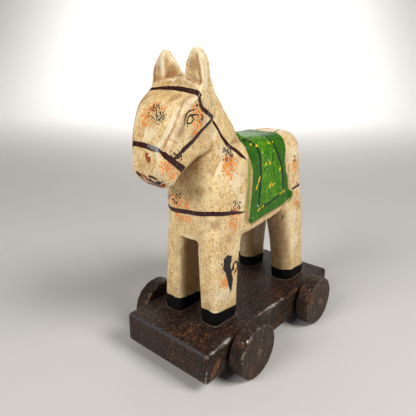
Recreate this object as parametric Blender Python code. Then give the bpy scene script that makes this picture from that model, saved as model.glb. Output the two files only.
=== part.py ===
"""Wooden toy horse standing on a plank with four wheels.

The horse faces -Y, its own left side is +X and up is +Z. Sizes are in metres. The horse is one carved
piece, the plank carries it, and each wheel turns on a short pin that is fixed in the side of the plank.
"""

import math

import bmesh
import bpy
import numpy as np
from mathutils import Matrix, Vector

# Plank
PLANK_LENGTH = 0.1128
PLANK_WIDTH = 0.0528
PLANK_THICKNESS = 0.0155
PLANK_BEVEL = 0.0011

# Wheels, sawn from a round rod
WHEEL_DIAMETER = 0.027
WHEEL_THICKNESS = 0.0078
WHEEL_BEVEL = 0.0009
WHEEL_SIDES = 40
WHEEL_GAP = 0.0015
WHEEL_BASE = 0.060

# Pins that carry the wheels
PIN_DIAMETER = 0.0046
PIN_SIDES = 20
PIN_DEPTH = 0.0120
PIN_PROUD = 0.0003
PIN_BEVEL = 0.0004
RUNNING_CLEARANCE = 0.0003
SEAT_GAP = 0.0003

# Horse: its forms are drawn on a grid of 124 units from sole to ear tip, about a millimetre each
HORSE_HEIGHT = 0.1235
HORSE_UNITS = 124
HORSE_OFFSET_X = -0.0015
BLANKET_THICKNESS = 0.0008
CARVING_GRID = 0.0008
SMOOTHING_PASSES = 4
HORSE_FACES = 5800

PAINT_COLOUR = (0.62, 0.50, 0.32)
STAIN_COLOUR = (0.055, 0.035, 0.027)
BARE_COLOUR = (0.32, 0.19, 0.10)

UNIT = HORSE_HEIGHT / HORSE_UNITS
AXLE_HEIGHT = WHEEL_DIAMETER / 2 * math.cos(math.pi / WHEEL_SIDES)
PLANK_TOP = AXLE_HEIGHT + PLANK_THICKNESS / 2
WHEEL_INNER_X = PLANK_WIDTH / 2 + WHEEL_GAP

# Legs, from below the sole up into the body: height, inner and outer side, front, rear, corner radius.
# A left leg has its sides at +X, and a right leg is mirrored. Hand carving left the four a little uneven.
FRONT_LEFT_LEG = (
    (-3, 6.3, 16.8, -36.9, -20.6, 3.0),
    (10, 6.1, 16.5, -37.4, -19.4, 3.2),
    (20, 5.6, 16.2, -38.1, -18.4, 3.6),
    (30, 4.8, 16.1, -38.6, -17.2, 4.5),
    (38, 4.0, 16.4, -38.8, -15.5, 5.5),
    (48, 2.0, 16.2, -38.0, -13.0, 6.0),
)
FRONT_RIGHT_LEG = (
    (-3, 5.6, 17.2, -38.4, -20.6, 3.2),
    (10, 5.6, 16.6, -38.5, -19.4, 3.4),
    (20, 5.7, 16.1, -38.6, -18.4, 3.8),
    (30, 5.4, 15.9, -38.7, -17.2, 4.5),
    (38, 4.6, 16.2, -38.7, -15.5, 5.5),
    (48, 2.0, 16.2, -38.0, -13.0, 6.0),
)
REAR_LEFT_LEG = (
    (-3, 5.6, 18.4, 26.0, 46.6, 5.0),
    (10, 5.0, 17.9, 24.6, 46.0, 5.5),
    (22, 4.2, 17.5, 22.6, 45.4, 6.5),
    (36, 3.4, 17.2, 19.0, 44.4, 8.0),
    (48, 2.0, 16.6, 17.0, 42.5, 8.0),
)
REAR_RIGHT_LEG = (
    (-3, 8.2, 18.4, 26.6, 43.5, 4.5),
    (10, 8.2, 17.9, 25.2, 43.8, 5.0),
    (22, 7.6, 17.5, 23.0, 44.0, 6.5),
    (36, 5.6, 17.2, 19.0, 44.0, 8.0),
    (48, 2.0, 16.6, 17.0, 42.5, 8.0),
)

# Shoulder and haunch blocks, upwards: height, half width, front, rear, corner radius
SHOULDER = (
    (41, 15.8, -38.0, -11.0, 6.5),
    (46, 16.4, -38.8, -10.0, 8.5),
    (54, 16.8, -40.6, -9.0, 11.0),
    (61, 16.6, -41.2, -8.0, 11.0),
    (68, 15.8, -40.6, -7.0, 10.5),
    (76, 13.8, -37.0, -6.0, 10.0),
    (83, 11.2, -31.0, -6.0, 8.0),
    (87.0, 7.0, -26.0, -8.0, 6.0),
)
HAUNCH = (
    (43, 16.8, 19.0, 43.6, 8.5),
    (50, 16.9, 18.0, 43.4, 10.5),
    (57, 16.7, 17.5, 42.6, 11.5),
    (66, 16.5, 17.0, 41.8, 12.0),
    (74, 16.0, 17.0, 40.6, 12.0),
    (80, 14.7, 18.0, 39.4, 11.5),
    (83.4, 12.0, 20.0, 37.0, 9.5),
    (85.0, 8.5, 22.5, 33.5, 6.0),
)

# Barrel under the blanket, front to rear: place, half width, bottom, top
BARREL = (
    (-24, 15.0, 41.0, 86.0),
    (-12, 15.8, 39.8, 85.6),
    (-3, 15.6, 40.3, 85.2),
    (8, 15.4, 41.2, 84.6),
    (18, 15.6, 42.8, 84.4),
    (30, 15.0, 45.0, 84.8),
)
BELLY_ROUNDING = 3.6
BACK_ROUNDING = 8.5

# Neck, upwards: front place and height, rear place and height, half width at the front and at the rear
NECK = (
    (-40.5, 58.0, -4.0, 74.0, 14.8, 11.0),
    (-41.0, 66.5, -7.5, 82.0, 14.4, 10.5),
    (-39.5, 75.0, -12.0, 91.5, 12.6, 9.8),
    (-39.5, 85.0, -18.0, 98.5, 11.2, 9.2),
    (-41.0, 97.0, -24.5, 105.5, 11.2, 8.8),
    (-42.0, 106.0, -28.5, 109.0, 10.8, 8.6),
)
NECK_CORNERS = 2.8

# Head, from the poll to the nose: place and height of the face and of the jaw, and half widths of the
# flat face, of the side behind its chamfer and of the jaw
HEAD = (
    (-44.4, 112.0, -32.0, 110.0, 11.8, 12.8, 7.0),
    (-47.0, 107.8, -28.6, 104.0, 13.6, 14.5, 7.0),
    (-52.6, 104.0, -28.4, 94.0, 12.5, 14.1, 7.6),
    (-57.6, 96.6, -33.0, 84.0, 11.0, 12.7, 9.6),
    (-60.8, 88.6, -43.5, 78.4, 8.9, 10.8, 9.6),
    (-62.2, 83.0, -50.0, 73.8, 7.3, 9.4, 8.8),
    (-63.0, 77.8, -53.0, 70.2, 6.2, 8.4, 7.4),
    (-61.6, 73.8, -55.5, 69.6, 4.2, 6.0, 4.8),
)
CHAMFER_DEPTH = 1.6
JAW_ROUNDING = 3.5

# Ears, upwards: height, inner and outer side, front, rear, corner radius
LEFT_EAR = (
    (95, 0.6, 11.0, -42.0, -34.0, 2.4),
    (103, 0.6, 13.0, -44.2, -33.2, 2.4),
    (109, 0.9, 14.0, -45.4, -33.6, 2.4),
    (113.5, 2.3, 13.6, -45.2, -35.6, 2.4),
    (117.5, 4.2, 12.9, -45.0, -37.0, 2.2),
    (121.2, 6.0, 12.3, -44.6, -38.6, 2.0),
    (123.6, 7.2, 11.2, -44.0, -40.2, 1.4),
    (124.6, 8.2, 10.2, -43.2, -41.2, 0.6),
)
RIGHT_EAR = (
    (95, 0.6, 11.0, -42.0, -34.0, 2.4),
    (103, 0.6, 13.0, -44.2, -33.4, 2.4),
    (109, 0.2, 14.4, -45.6, -33.8, 2.4),
    (113.3, 1.2, 13.9, -45.4, -36.2, 2.4),
    (117, 3.4, 12.8, -45.0, -37.6, 2.2),
    (120.8, 5.4, 11.2, -44.6, -38.8, 2.0),
    (123.0, 6.6, 10.0, -43.8, -40.4, 1.2),
    (124.2, 7.4, 9.2, -43.0, -41.4, 0.5),
)
# Poll between the ears, upwards: height, half width, front, rear, corner radius
POLL = (
    (98, 7.0, -43.5, -30.0, 3.0),
    (106, 7.0, -45.4, -31.0, 3.0),
    (110, 6.5, -45.2, -32.0, 2.5),
    (113.8, 4.5, -43.6, -34.0, 2.0),
)

# Edge of the blanket seen from the side, over the back and round: place and height
BLANKET_EDGE = (
    (-6.0, 96.0),
    (-9.0, 88.0),
    (-12.2, 82.0),
    (-12.1, 73.0),
    (-11.8, 64.0),
    (-12.4, 56.0),
    (-13.0, 49.0),
    (-11.2, 45.2),
    (0.0, 46.1),
    (12.0, 47.0),
    (21.0, 48.6),
    (26.0, 50.6),
    (26.6, 53.2),
    (23.6, 56.0),
    (21.0, 62.6),
    (18.8, 68.0),
    (17.6, 74.0),
    (18.2, 80.0),
    (19.8, 85.0),
    (21.5, 96.0),
)


def clear_scene():
    for item in list(bpy.data.objects):
        bpy.data.objects.remove(item, do_unlink=True)


def wood(name, colour, roughness):
    """A plain material of one colour."""
    material = bpy.data.materials.new(name)
    material.use_nodes = True
    shader = material.node_tree.nodes["Principled BSDF"]
    shader.inputs["Base Color"].default_value = (*colour, 1.0)
    shader.inputs["Roughness"].default_value = roughness
    shader.inputs["Metallic"].default_value = 0.0
    return material


def mesh_object(name, form, material=None):
    """An object from a bmesh, which is freed."""
    mesh = bpy.data.meshes.new(name)
    bmesh.ops.recalc_face_normals(form, faces=form.faces)
    form.to_mesh(mesh)
    form.free()
    if material:
        mesh.materials.append(material)
    item = bpy.data.objects.new(name, mesh)
    bpy.context.scene.collection.objects.link(item)
    return item


def shade_round(item):
    item.data.shade_smooth()
    item.data.set_sharp_from_angle(angle=math.radians(35))


def between(stations, spacing):
    """The stations joined by smooth curves, with rows added about this far apart."""
    rows = np.array(stations, float)
    ends = np.vstack((2 * rows[0] - rows[1], rows, 2 * rows[-1] - rows[-2]))
    found = []
    for before, start, end, after in zip(ends, ends[1:], ends[2:], ends[3:]):
        count = max(1, round(float(np.linalg.norm(end[:2] - start[:2])) / spacing))
        for step in range(count):
            t = step / count
            found.append(
                0.5
                * (
                    2 * start
                    + (end - before) * t
                    + (2 * before - 5 * start + 4 * end - after) * t**2
                    + (3 * start - before - 3 * end + after) * t**3
                )
            )
    found.append(rows[-1])
    return found


def loft(name, rings):
    """A closed skin over rings of as many points each, with flat ends."""
    form = bmesh.new()
    loops = [[form.verts.new(Vector(point) * UNIT) for point in ring] for ring in rings]
    count = len(loops[0])
    for lower, upper in zip(loops, loops[1:]):
        for i in range(count):
            j = (i + 1) % count
            form.faces.new((lower[i], lower[j], upper[j], upper[i]))
    form.faces.new(loops[0][::-1])
    form.faces.new(loops[-1])
    return mesh_object(name, form)


def rounded_rectangle(left, right, near, far, near_radius, far_radius, steps=6):
    """Points round a rectangle, from its far right corner, with a radius for each pair of corners."""
    points = []
    for x, y, radius, start in (
        (right, far, far_radius, 0),
        (left, far, far_radius, 90),
        (left, near, near_radius, 180),
        (right, near, near_radius, 270),
    ):
        radius = min(radius, (right - left) / 2, (far - near) / 2)
        centre_x = x - math.copysign(radius, x - (left + right) / 2)
        centre_y = y - math.copysign(radius, y - (near + far) / 2)
        for step in range(steps):
            angle = math.radians(start + 90 * step / (steps - 1))
            points.append((centre_x + radius * math.cos(angle), centre_y + radius * math.sin(angle)))
    return points


def upright(name, stations, side=1):
    """A loft of level rounded rectangles, mirrored to the right side where side is -1."""
    rings = []
    for z, inner, outer, front, rear, radius in between(stations, 3):
        outline = rounded_rectangle(inner, outer, front, rear, radius, radius)
        rings.append([(side * x, y, z) for x, y in outline])
    return loft(name, rings)


def block(name, stations):
    """A loft of level rounded rectangles that are the same on both sides."""
    return upright(name, [(z, -half, half, *rest) for z, half, *rest in stations])


def squared_circle(angle, power):
    """Cosine and sine pushed towards a square's corners."""
    c = math.cos(angle)
    s = math.sin(angle)
    squared_c = math.copysign(abs(c) ** (2 / power), c)
    squared_s = math.copysign(abs(s) ** (2 / power), s)
    return squared_c, squared_s


def barrel():
    rings = []
    for y, half, bottom, top in between(BARREL, 4):
        outline = rounded_rectangle(-half, half, bottom, top, BELLY_ROUNDING, BACK_ROUNDING)
        rings.append([(x, y, z) for x, z in outline])
    return loft("barrel", rings)


def neck():
    """Each ring lies in the slanted plane through a point of the throat and one of the crest."""
    rings = []
    angles = [math.tau * i / 40 for i in range(40)]
    for front_y, front_z, rear_y, rear_z, front_half, rear_half in between(NECK, 3):
        ring = []
        for angle in angles:
            c, s = squared_circle(angle, NECK_CORNERS)
            along = (1 - s) / 2
            half = front_half + (rear_half - front_half) * along
            ring.append((half * c, front_y + (rear_y - front_y) * along, front_z + (rear_z - front_z) * along))
        rings.append(ring)
    return loft("neck", rings)


def head():
    """Each ring has a flat face, a chamfer beside it, a cheek and a rounded jaw."""
    rings = []
    for face_y, face_z, jaw_y, jaw_z, face_half, side_half, jaw_half in between(HEAD, 2.5):
        depth = math.hypot(jaw_y - face_y, jaw_z - face_z)
        chamfer = CHAMFER_DEPTH / depth
        rounding = min(JAW_ROUNDING / depth, 0.4)
        half_ring = (
            (0.45 * face_half, -0.01),
            (face_half, 0.0),
            (side_half, chamfer),
            (side_half, 0.45),
            ((side_half + jaw_half) / 2 + 0.3, 0.75),
            (jaw_half, 1 - rounding),
            (jaw_half * 0.75, 1 - rounding * 0.25),
            (jaw_half * 0.35, 1.0),
        )
        outline = half_ring + tuple((-x, t) for x, t in reversed(half_ring))
        rings.append([(x, face_y + (jaw_y - face_y) * t, face_z + (jaw_z - face_z) * t) for x, t in outline])
    return loft("head", rings)


def evaluated_mesh(item):
    bpy.context.view_layer.update()
    graph = bpy.context.evaluated_depsgraph_get()
    return bpy.data.meshes.new_from_object(item.evaluated_get(graph))


def as_cutter(item):
    """Marks an object that only shapes another one."""
    item.hide_render = True
    item.display_type = "WIRE"
    return item


def combine(item, other, operation):
    modifier = item.modifiers.new(f"{operation.lower()} {other.name}", "BOOLEAN")
    modifier.operation = operation
    modifier.object = other


def carved_body():
    """The forms joined on an even grid, blended as a knife leaves them, and faceted."""
    forms = [
        block("shoulder", SHOULDER),
        block("haunch", HAUNCH),
        barrel(),
        neck(),
        head(),
        block("poll", POLL),
        upright("front_left_leg", FRONT_LEFT_LEG),
        upright("front_right_leg", FRONT_RIGHT_LEG, -1),
        upright("rear_left_leg", REAR_LEFT_LEG),
        upright("rear_right_leg", REAR_RIGHT_LEG, -1),
        upright("left_ear", LEFT_EAR),
        upright("right_ear", RIGHT_EAR, -1),
    ]
    body = forms[0]
    for other in forms[1:]:
        combine(body, other, "UNION")
    remesh = body.modifiers.new("even grid", "REMESH")
    remesh.mode = "VOXEL"
    remesh.voxel_size = CARVING_GRID
    smooth = body.modifiers.new("knife work", "SMOOTH")
    smooth.factor = 0.5
    smooth.iterations = SMOOTHING_PASSES
    fine = evaluated_mesh(body)
    facets = body.modifiers.new("facets", "DECIMATE")
    facets.ratio = HORSE_FACES / (2 * len(fine.polygons))
    mesh = evaluated_mesh(body)
    for item in forms:
        bpy.data.objects.remove(item, do_unlink=True)
    bpy.data.meshes.remove(fine)
    return mesh


def blanket(body):
    """The skin of the back, moved out by the blanket's thickness and trimmed to its edge."""
    cloth = bpy.data.objects.new("blanket", body)
    bpy.context.scene.collection.objects.link(cloth)
    swell = cloth.modifiers.new("thickness", "DISPLACE")
    swell.strength = BLANKET_THICKNESS
    swell.mid_level = 0.0
    outline = bmesh.new()
    reach = HORSE_HEIGHT / 4
    near = [outline.verts.new((reach, y * UNIT, z * UNIT)) for y, z in between(BLANKET_EDGE, 3)]
    side = outline.faces.new(near)
    far = bmesh.ops.extrude_face_region(outline, geom=[side])["geom"]
    moved = [item for item in far if isinstance(item, bmesh.types.BMVert)]
    bmesh.ops.translate(outline, verts=moved, vec=(-2 * reach, 0, 0))
    trim = as_cutter(mesh_object("blanket_outline", outline))
    trim.parent = cloth
    combine(cloth, trim, "INTERSECT")
    return as_cutter(cloth)


def sole_cutter():
    """A box under the soles, which trims the legs flat."""
    form = bmesh.new()
    bmesh.ops.create_cube(form, size=HORSE_HEIGHT)
    bmesh.ops.translate(form, verts=form.verts, vec=(0, 0, -HORSE_HEIGHT / 2))
    return as_cutter(mesh_object("below_soles", form))


def carved_horse(material):
    mesh = carved_body()
    mesh.name = "horse"
    mesh.materials.append(material)
    mesh.shade_smooth()
    horse = bpy.data.objects.new("horse", mesh)
    bpy.context.scene.collection.objects.link(horse)
    for other, operation in ((blanket(mesh), "UNION"), (sole_cutter(), "DIFFERENCE")):
        combine(horse, other, operation)
        other.parent = horse
    horse.location = (HORSE_OFFSET_X, 0, PLANK_TOP + SEAT_GAP)
    return horse


def rod(name, radius, length, sides, material=None):
    """A cylinder along X about its own origin, with one flat straight down."""
    form = bmesh.new()
    bmesh.ops.create_cone(
        form, cap_ends=True, segments=sides, radius1=radius, radius2=radius, depth=length
    )
    turn = Matrix.Rotation(math.pi / 2, 3, "Y") @ Matrix.Rotation(math.pi / sides, 3, "Z")
    bmesh.ops.rotate(form, verts=form.verts, matrix=turn)
    return mesh_object(name, form, material)


def bevel_edges(item, width, segments=1):
    bevel = item.modifiers.new("worn edges", "BEVEL")
    bevel.width = width
    bevel.segments = segments
    bevel.limit_method = "ANGLE"
    bevel.angle_limit = math.radians(40)


def plank(material):
    form = bmesh.new()
    bmesh.ops.create_cube(form, size=1.0)
    bmesh.ops.scale(form, verts=form.verts, vec=(PLANK_WIDTH, PLANK_LENGTH, PLANK_THICKNESS))
    board = mesh_object("plank", form, material)
    board.location = (0, 0, AXLE_HEIGHT)
    bevel_edges(board, PLANK_BEVEL, 2)
    return board


def wheel(name, material):
    disc = rod("wheel_" + name, WHEEL_DIAMETER / 2, WHEEL_THICKNESS, WHEEL_SIDES, material)
    bevel_edges(disc, WHEEL_BEVEL)
    bore_radius = PIN_DIAMETER / 2 + RUNNING_CLEARANCE
    bore = as_cutter(rod("bore_" + name, bore_radius, 2 * WHEEL_THICKNESS, PIN_SIDES))
    bore.parent = disc
    combine(disc, bore, "DIFFERENCE")
    shade_round(disc)
    return disc


def pin(name, side, material):
    length = PIN_DEPTH + WHEEL_GAP + WHEEL_THICKNESS + PIN_PROUD
    peg = rod("pin_" + name, PIN_DIAMETER / 2, length, PIN_SIDES, material)
    peg.location.x = side * (WHEEL_THICKNESS / 2 + PIN_PROUD - length / 2)
    bevel_edges(peg, PIN_BEVEL)
    shade_round(peg)
    return peg


def drill(board, name, side, y):
    """A blind hole in the side of the plank for a pin."""
    depth = PIN_DEPTH + SEAT_GAP
    hole = as_cutter(rod("hole_" + name, PIN_DIAMETER / 2 + SEAT_GAP, 2 * depth, PIN_SIDES))
    hole.location = (side * PLANK_WIDTH / 2, y, 0)
    hole.parent = board
    combine(board, hole, "DIFFERENCE")


def empty(name):
    item = bpy.data.objects.new(name, None)
    bpy.context.scene.collection.objects.link(item)
    return item


def centre_on_origin(stand, pieces):
    """Moves everything so that the middle of its footprint is over the origin."""
    bpy.context.view_layer.update()
    graph = bpy.context.evaluated_depsgraph_get()
    corners = []
    for piece in pieces:
        found = piece.evaluated_get(graph)
        corners += [found.matrix_world @ Vector(corner) for corner in found.bound_box]
    for axis in (0, 1):
        along = [corner[axis] for corner in corners]
        stand.location[axis] = -(min(along) + max(along)) / 2


def build():
    clear_scene()
    painted = wood("painted wood", PAINT_COLOUR, 0.45)
    stained = wood("stained wood", STAIN_COLOUR, 0.6)
    bare = wood("bare wood", BARE_COLOUR, 0.6)

    horse = carved_horse(painted)
    board = plank(stained)
    pieces = [horse, board]
    carried = [horse, board]
    for side, side_name in ((1, "left"), (-1, "right")):
        for y, end_name in ((-WHEEL_BASE / 2, "front"), (WHEEL_BASE / 2, "rear")):
            name = f"{end_name}_{side_name}"
            axle = empty("axle_" + name)
            axle.location = (side * (WHEEL_INNER_X + WHEEL_THICKNESS / 2), y, AXLE_HEIGHT)
            disc = wheel(name, stained)
            peg = pin(name, side, bare)
            drill(board, name, side, y)
            disc.parent = axle
            peg.parent = axle
            carried.append(axle)
            pieces += [disc, peg]

    stand = empty("horse_on_wheels")
    for item in carried:
        item.parent = stand
    centre_on_origin(stand, pieces)


build()
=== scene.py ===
# %% [markdown]
# # A wooden horse on wheels
#
# A folk toy: one block of wood carved into a horse, painted cream with a green saddle blanket, and set on
# a dark plank that rolls on four sawn discs. The solids of the packed part give every size here. This
# notebook puts the maker's finish on them: knife cuts, brush strokes, worn varnish and sawn wood.
#
# The frame comes first. Everything after it is measured against these solids.

# %% Load the solids
import math

import bmesh
import bpy
import numpy as np
from mathutils import Matrix, Vector, kdtree, noise
from mathutils.bvhtree import BVHTree


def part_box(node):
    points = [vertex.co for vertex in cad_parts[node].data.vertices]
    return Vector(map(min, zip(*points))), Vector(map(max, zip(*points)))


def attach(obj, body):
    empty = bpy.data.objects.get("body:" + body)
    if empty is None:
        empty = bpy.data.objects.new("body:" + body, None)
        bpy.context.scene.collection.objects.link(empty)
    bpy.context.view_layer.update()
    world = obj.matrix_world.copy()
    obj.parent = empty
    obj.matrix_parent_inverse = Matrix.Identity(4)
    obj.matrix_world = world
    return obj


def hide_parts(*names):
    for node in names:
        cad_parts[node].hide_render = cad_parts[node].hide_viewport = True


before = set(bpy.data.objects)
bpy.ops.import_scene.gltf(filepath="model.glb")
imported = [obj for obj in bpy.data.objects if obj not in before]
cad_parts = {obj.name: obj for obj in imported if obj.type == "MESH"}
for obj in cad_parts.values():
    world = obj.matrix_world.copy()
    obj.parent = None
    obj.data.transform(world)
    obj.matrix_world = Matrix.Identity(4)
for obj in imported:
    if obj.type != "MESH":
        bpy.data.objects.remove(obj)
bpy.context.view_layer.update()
print("solids:", ", ".join(sorted(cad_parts)))

# %% [markdown]
# ## Measures
#
# A carver thinks in millimetres and Blender in metres, so the notes for every stroke and cut below are in
# millimetres and one factor turns them into metres. The horse stands a little to its right on the plank,
# which gives it a middle plane of its own: a stroke noted on its left side is repeated on its right side
# by turning it over at that plane.

# %% Measures
MM = 0.001
HORSE_MIDDLE = -1.5
PLANK_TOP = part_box("plank")[1].z / MM
HORSE_BOX = [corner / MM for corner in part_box("horse")]
print(f"plank top at {PLANK_TOP:.2f} mm, horse {HORSE_BOX[1].z - HORSE_BOX[0].z:.1f} mm tall")


# %% [markdown]
# ## The camera
#
# The toy was looked at from its left front, a little above its back. The camera stands about 18 cm from
# it, so the head, which is nearest, looks large against the rump. It could be aimed with a Track To
# constraint. Here its three axes are worked out from the azimuth, the elevation and a slight roll, because
# that keeps the roll exact.


# %% Camera
def camera_axes(azimuth, elevation, roll):
    """The right, up and backward directions of a camera that looks from there."""
    a, e, r = map(math.radians, (azimuth, elevation, roll))
    backward = Vector((math.sin(a) * math.cos(e), -math.cos(a) * math.cos(e), math.sin(e)))
    level = Vector((math.cos(a), math.sin(a), 0))
    above = backward.cross(level)
    right = level * math.cos(r) + above * math.sin(r)
    up = above * math.cos(r) - level * math.sin(r)
    return right, up, backward


def add_object(name, data):
    item = bpy.data.objects.new(name, data)
    bpy.context.scene.collection.objects.link(item)
    return item


def aimed(place, axes):
    """The matrix of a thing that stands at a place in metres with these three axes."""
    return Matrix.Translation(place) @ Matrix(axes).transposed().to_4x4()


CAMERA_PLACE = Vector((123.6, -167.43, 138.4))
AZIMUTH = 40.47
ELEVATION = 18.47
ROLL = 0.51
camera = add_object("camera", bpy.data.cameras.new("camera"))
camera.matrix_world = aimed(CAMERA_PLACE * MM, camera_axes(AZIMUTH, ELEVATION, ROLL))
camera.data.sensor_width = 36
camera.data.lens = 36.58
camera.data.clip_start = 0.01
bpy.context.scene.camera = camera
print("camera at", [round(value, 3) for value in camera.location])

# %% [markdown]
# ## Light and floor
#
# The light is soft and comes mostly from the upper right, as from a large window. An area lamp gives that
# softness by its size. A second, weaker one fills the shadow side, and the world adds an even pale light.
# The floor is one pale sheet that rises behind the toy in a wide curve, so no edge shows.

# %% Light and floor
def add_area_light(name, azimuth, elevation, distance, size, power, colour, aim=(0, 0, 0.06), spread=180):
    """A round lamp at that distance in metres from the place it is aimed at."""
    light = bpy.data.lights.new(name, "AREA")
    light.spread = math.radians(spread)
    light.shape = "DISK"
    light.size = size
    light.energy = power
    light.color = colour
    axes = camera_axes(azimuth, elevation, 0)
    add_object(name, light).matrix_world = aimed(axes[2] * distance + Vector(aim), axes)


def as_mesh(form, name):
    mesh = bpy.data.meshes.new(name)
    form.to_mesh(mesh)
    form.free()
    return mesh


def pale_floor():
    """A sheet swept along X: flat, then a quarter circle, then a wall."""
    flat, radius, height, half_width, steps, turned_by = 1.0, 0.6, 1.6, 2.5, 12, 40
    profile = [(-1.5, 0.0), (flat, 0.0)]
    for step in range(1, steps + 1):
        turn = math.radians(90 * step / steps)
        profile.append((flat + radius * math.sin(turn), radius * (1 - math.cos(turn))))
    profile.append((flat + radius, height))
    sheet = bmesh.new()
    rows = [[sheet.verts.new((x, y, z)) for y, z in profile] for x in (-half_width, half_width)]
    for i in range(len(profile) - 1):
        sheet.faces.new((rows[0][i], rows[1][i], rows[1][i + 1], rows[0][i + 1]))
    mesh = as_mesh(sheet, "floor")
    mesh.shade_smooth()
    floor = add_object("floor", mesh)
    floor.rotation_euler.z = math.radians(turned_by)
    material = bpy.data.materials.new("pale floor")
    material.use_nodes = True
    shader = material.node_tree.nodes["Principled BSDF"]
    shader.inputs["Base Color"].default_value = (0.6, 0.585, 0.565, 1)
    shader.inputs["Roughness"].default_value = 0.7
    mesh.materials.append(material)


pale_floor()
WARM = (1.0, 0.98, 0.95)
WHITE = (1.0, 1.0, 1.0)
add_area_light("window", azimuth=95, elevation=45, distance=0.9, size=0.4, power=7.0, colour=WARM)
add_area_light("fill", azimuth=-8, elevation=32, distance=1.1, size=0.5, power=7.5, colour=WARM)
add_area_light("backdrop", 34, 62, 1.15, size=0.9, power=13.0, colour=WHITE, aim=(-0.9, 1.1, 0.2), spread=95)
world = bpy.data.worlds.new("even light")
world.use_nodes = True
world.node_tree.nodes["Background"].inputs["Color"].default_value = (1.0, 0.99, 0.98, 1)
world.node_tree.nodes["Background"].inputs["Strength"].default_value = 0.12
bpy.context.scene.world = world
bpy.context.scene.view_settings.view_transform = "Standard"

# %% [markdown]
# ## Shader maths as Python
#
# Paint, stain and wear are patterns, and a pattern is arithmetic on noise and on distances. Node trees for
# that get long, so two small classes write them. `Wire` is one output socket: adding, multiplying or
# comparing wires adds the Math node, or the Vector Math node where a vector is involved. `Finish` is one
# material, with one method that adds any other node.


# %% Wires
class Wire:
    """An output socket that arithmetic works on."""

    def __init__(self, finish, socket):
        self.finish = finish
        self.socket = socket

    def maths(self, operation, *others, clamp=False):
        values = (self, *others)
        if any(isinstance(value, Wire) and value.socket.type == "VECTOR" for value in values):
            values = [(value,) * 3 if isinstance(value, (int, float)) else value for value in values]
            return self.finish.add("ShaderNodeVectorMath", {"operation": operation}, dict(enumerate(values)))
        settings = {"operation": operation, "use_clamp": clamp}
        return self.finish.add("ShaderNodeMath", settings, dict(enumerate(values)))

    def __add__(self, other):
        return self.maths("ADD", other)

    __radd__ = __add__

    def __sub__(self, other):
        return self.maths("SUBTRACT", other)

    def __rsub__(self, other):
        return self.finish.start(other).maths("SUBTRACT", self)

    def __mul__(self, other):
        return self.maths("MULTIPLY", other)

    __rmul__ = __mul__

    def __abs__(self):
        return self.maths("ABSOLUTE")

    def held(self):
        """The value kept between 0 and 1."""
        return self.maths("ADD", 0.0, clamp=True)

    def rise(self, start, end):
        """0 below start, 1 above end, and a smooth step between them. It falls where end is below start."""
        low, high, flip = (start, end, (0.0, 1.0)) if start < end else (end, start, (1.0, 0.0))
        inputs = {"Value": self, "From Min": low, "From Max": high, "To Min": flip[0], "To Max": flip[1]}
        return self.finish.add("ShaderNodeMapRange", {"interpolation_type": "SMOOTHSTEP"}, inputs)


# %% Finishes
class Finish:
    """One material. add() is how every node but the arithmetic ones is made."""

    def __init__(self, name):
        self.material = bpy.data.materials.new(name)
        self.material.use_nodes = True
        self.tree = self.material.node_tree
        self.shader = self.tree.nodes["Principled BSDF"]
        self.colour = None

    def add(self, kind, settings=None, inputs=None, output=0):
        node = self.tree.nodes.new(kind)
        for name, value in (settings or {}).items():
            setattr(node, name, value)
        for name, value in (inputs or {}).items():
            self.feed(node.inputs[name], value)
        return Wire(self, node.outputs[output])

    def feed(self, socket, value):
        if isinstance(value, Wire):
            self.tree.links.new(value.socket, socket)
        elif socket.type == "RGBA" and len(value) == 3:
            socket.default_value = (*value, 1.0)
        else:
            socket.default_value = value

    def set(self, name, value):
        self.feed(self.shader.inputs[name], value)

    def start(self, number):
        """A plain number as a wire, for 1 - mask."""
        return self.add("ShaderNodeMath", {"operation": "ADD"}, {0: number, 1: 0.0})

    def place(self):
        """Where on the piece the shaded point is, in metres."""
        return self.add("ShaderNodeTexCoord", output="Object")

    def stretched(self, x, y, z):
        """The place with its axes scaled: a small factor draws a pattern out along that axis."""
        return self.place().maths("MULTIPLY", (x, y, z))

    def clouds(self, size, detail=4, roughness=0.5, where=None, seed=0, distortion=0.0):
        """Soft noise from 0 to 1 with blotches of about this size in millimetres."""
        inputs = {
            "Vector": where or self.place(),
            "W": seed,
            "Scale": 1 / (size * MM),
            "Detail": detail,
            "Roughness": roughness,
            "Distortion": distortion,
        }
        return self.add("ShaderNodeTexNoise", {"noise_dimensions": "4D"}, inputs)

    def cells(self, size, where=None):
        """Distance to the nearest of scattered points, in cell widths, for dots and pits."""
        inputs = {"Vector": where or self.place(), "Scale": 1 / (size * MM)}
        return self.add("ShaderNodeTexVoronoi", {"feature": "F1"}, inputs)

    def mix(self, share, first, second):
        """Two colours mixed: first where share is 0 and second where it is 1."""
        return self.add("ShaderNodeMix", {"data_type": "RGBA"}, {0: share, 6: first, 7: second}, output=2)

    def lay(self, share, colour):
        """Lays a colour over all that the finish has so far, where share is 1."""
        self.colour = self.mix(share, self.colour, colour)

    def note(self, name):
        """A number that the mesh carries for each of its points."""
        return self.add("ShaderNodeAttribute", {"attribute_name": name}, output="Fac")

    def bump(self, height, depth):
        """Feeds the normal: height from 0 to 1, depth in millimetres."""
        inputs = {"Strength": 1.0, "Distance": depth * MM, "Height": height}
        self.set("Normal", self.add("ShaderNodeBump", {}, inputs))


print("wire methods:", [name for name in vars(Wire) if not name.startswith("_")])

# %% [markdown]
# ## Meshes as arrays
#
# Carving moves thousands of points at once. Numpy does that in one line where a Python loop would crawl,
# so a mesh's points are read into an array in millimetres, changed there and written back. The same goes
# for the numbers that the paint needs at each point.


# %% Mesh helpers
def read_rows(items, name, kind, width):
    """One property of all the mesh's points or edges, as rows of numbers."""
    flat = np.empty(len(items) * width, kind)
    items.foreach_get(name, flat)
    return flat.reshape(-1, width)


def read_points(mesh):
    return read_rows(mesh.vertices, "co", np.float32, 3).astype(float) / MM


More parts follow.
